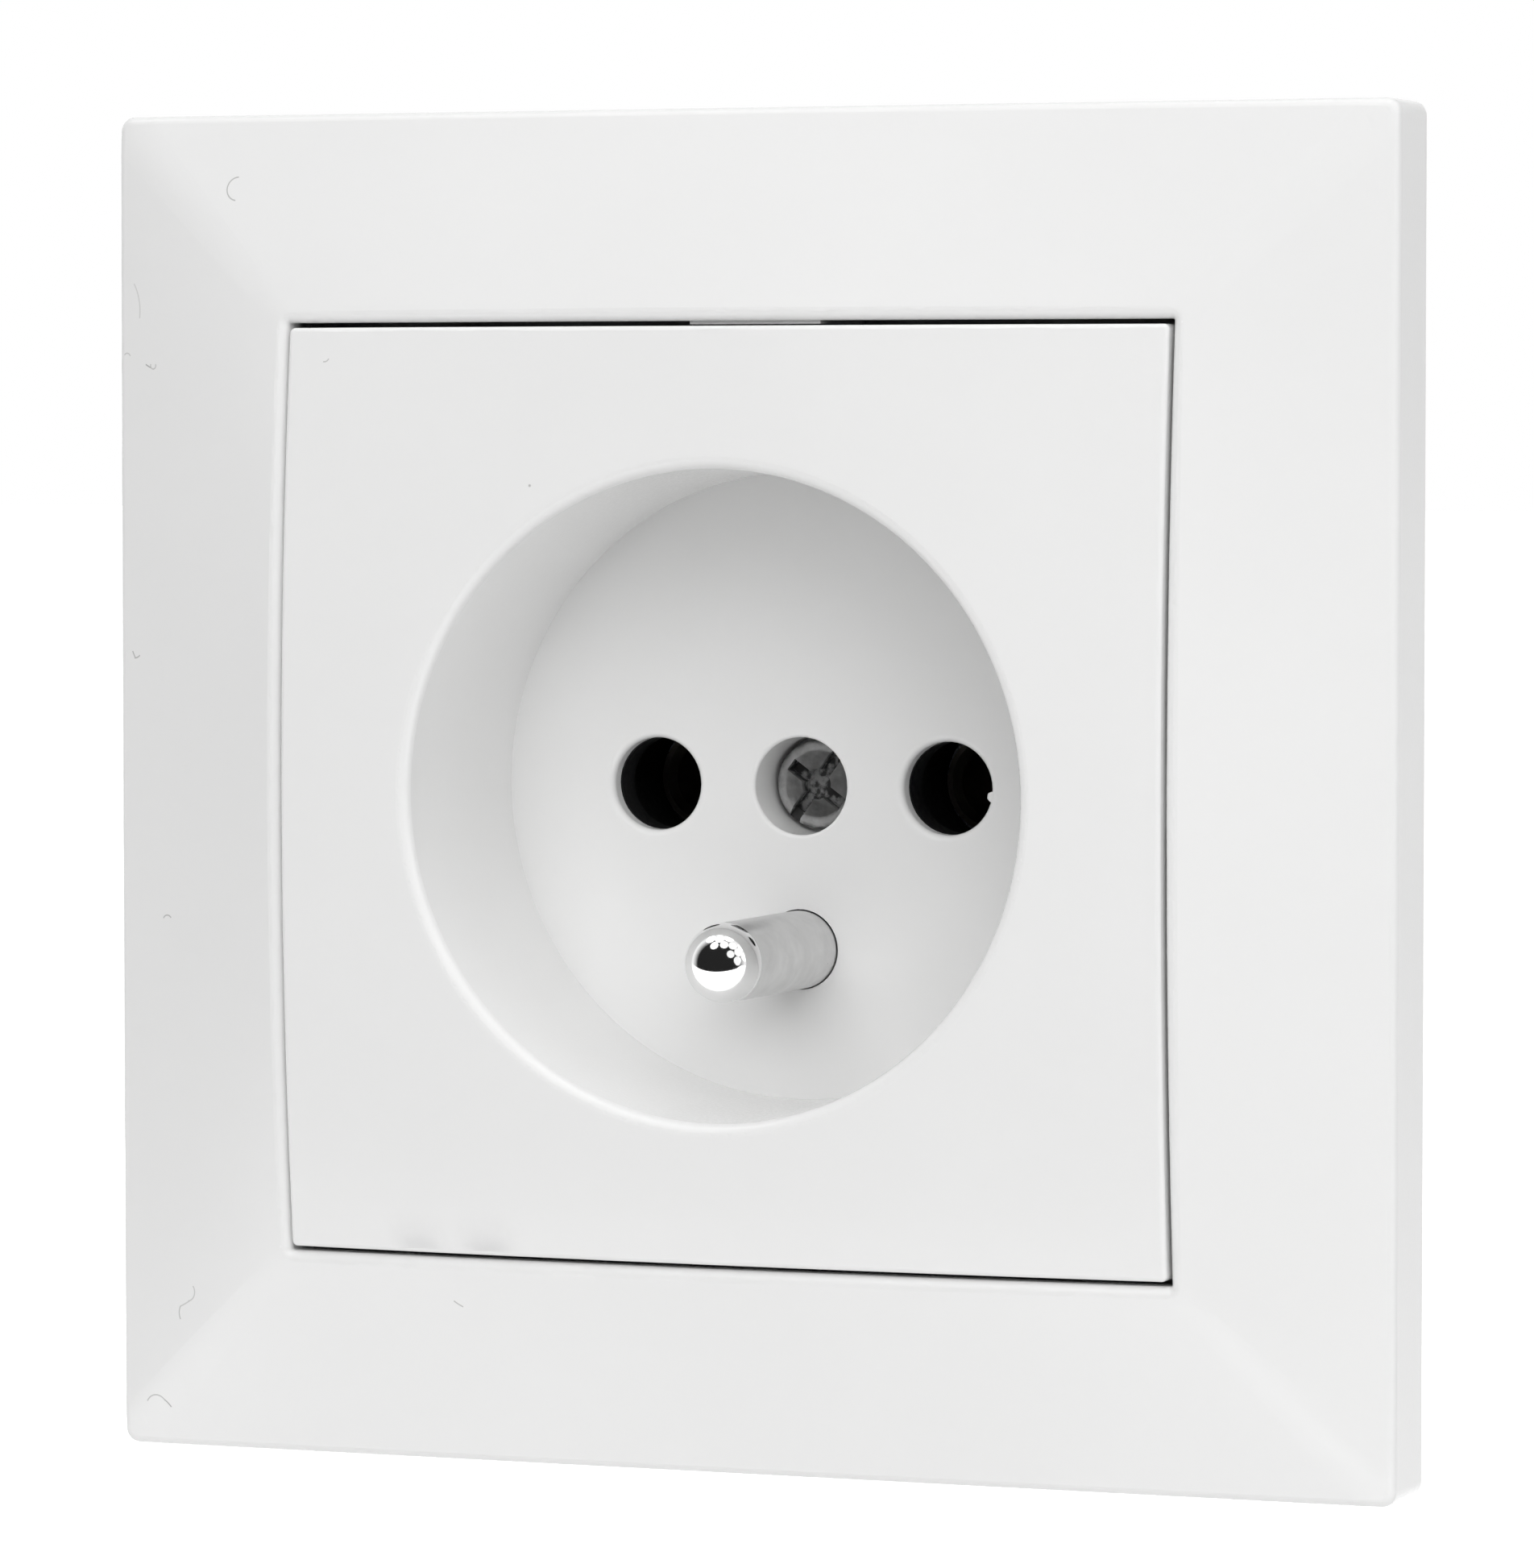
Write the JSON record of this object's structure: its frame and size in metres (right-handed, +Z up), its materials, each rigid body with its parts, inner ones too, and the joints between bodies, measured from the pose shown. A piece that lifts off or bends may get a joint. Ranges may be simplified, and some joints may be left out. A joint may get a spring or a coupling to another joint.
{
  "type": "wall socket",
  "caption": "Square recessed wall socket with a sloped frame, a bowed centre plate, a round plug recess with contact holes and an earth pin, a steel strap and an insulating base.",
  "frame": {"origin": "centre of the wall plane, midway between the two box-screw slots, on the back of the strap and of the frame", "axes": "+X to the right seen from the front, +Y into the wall, +Z up with the earth pin below the contact holes"},
  "size_m": [0.082, 0.042, 0.082],
  "materials": {
    "white_plastic": "smooth, slightly glossy white moulding",
    "black_plastic": "matt black insulating moulding",
    "plated_steel": "zinc-plated pressed sheet",
    "spring_steel": "bright spring steel",
    "rivet_steel": "zinc-plated",
    "zinc_screw": "zinc-plated screw",
    "brass": "bare rolled strip",
    "nickel_pin": "nickel-plated turned brass, satin shank and bright tip"
  },
  "bodies": {
    "root": {"outer_frame": "white_plastic", "centre_plate": "white_plastic", "cover_screw": "zinc_screw", "mounting_strap": "plated_steel", "socket_base": "black_plastic", "contact_cover": "black_plastic", "contact_cover_screws": "zinc_screw", "strap_rivets": "rivet_steel", "live_contact": "brass", "neutral_contact": "brass", "live_contact_spring": "spring_steel", "neutral_contact_spring": "spring_steel", "earth_bar": "brass", "earth_pin": "nickel_pin", "live_clamp_plate": "plated_steel", "neutral_clamp_plate": "plated_steel", "earth_clamp_plate": "plated_steel", "live_terminal_screw": "zinc_screw", "neutral_terminal_screw": "zinc_screw", "earth_terminal_screw": "zinc_screw"}
  },
  "joints": []
}
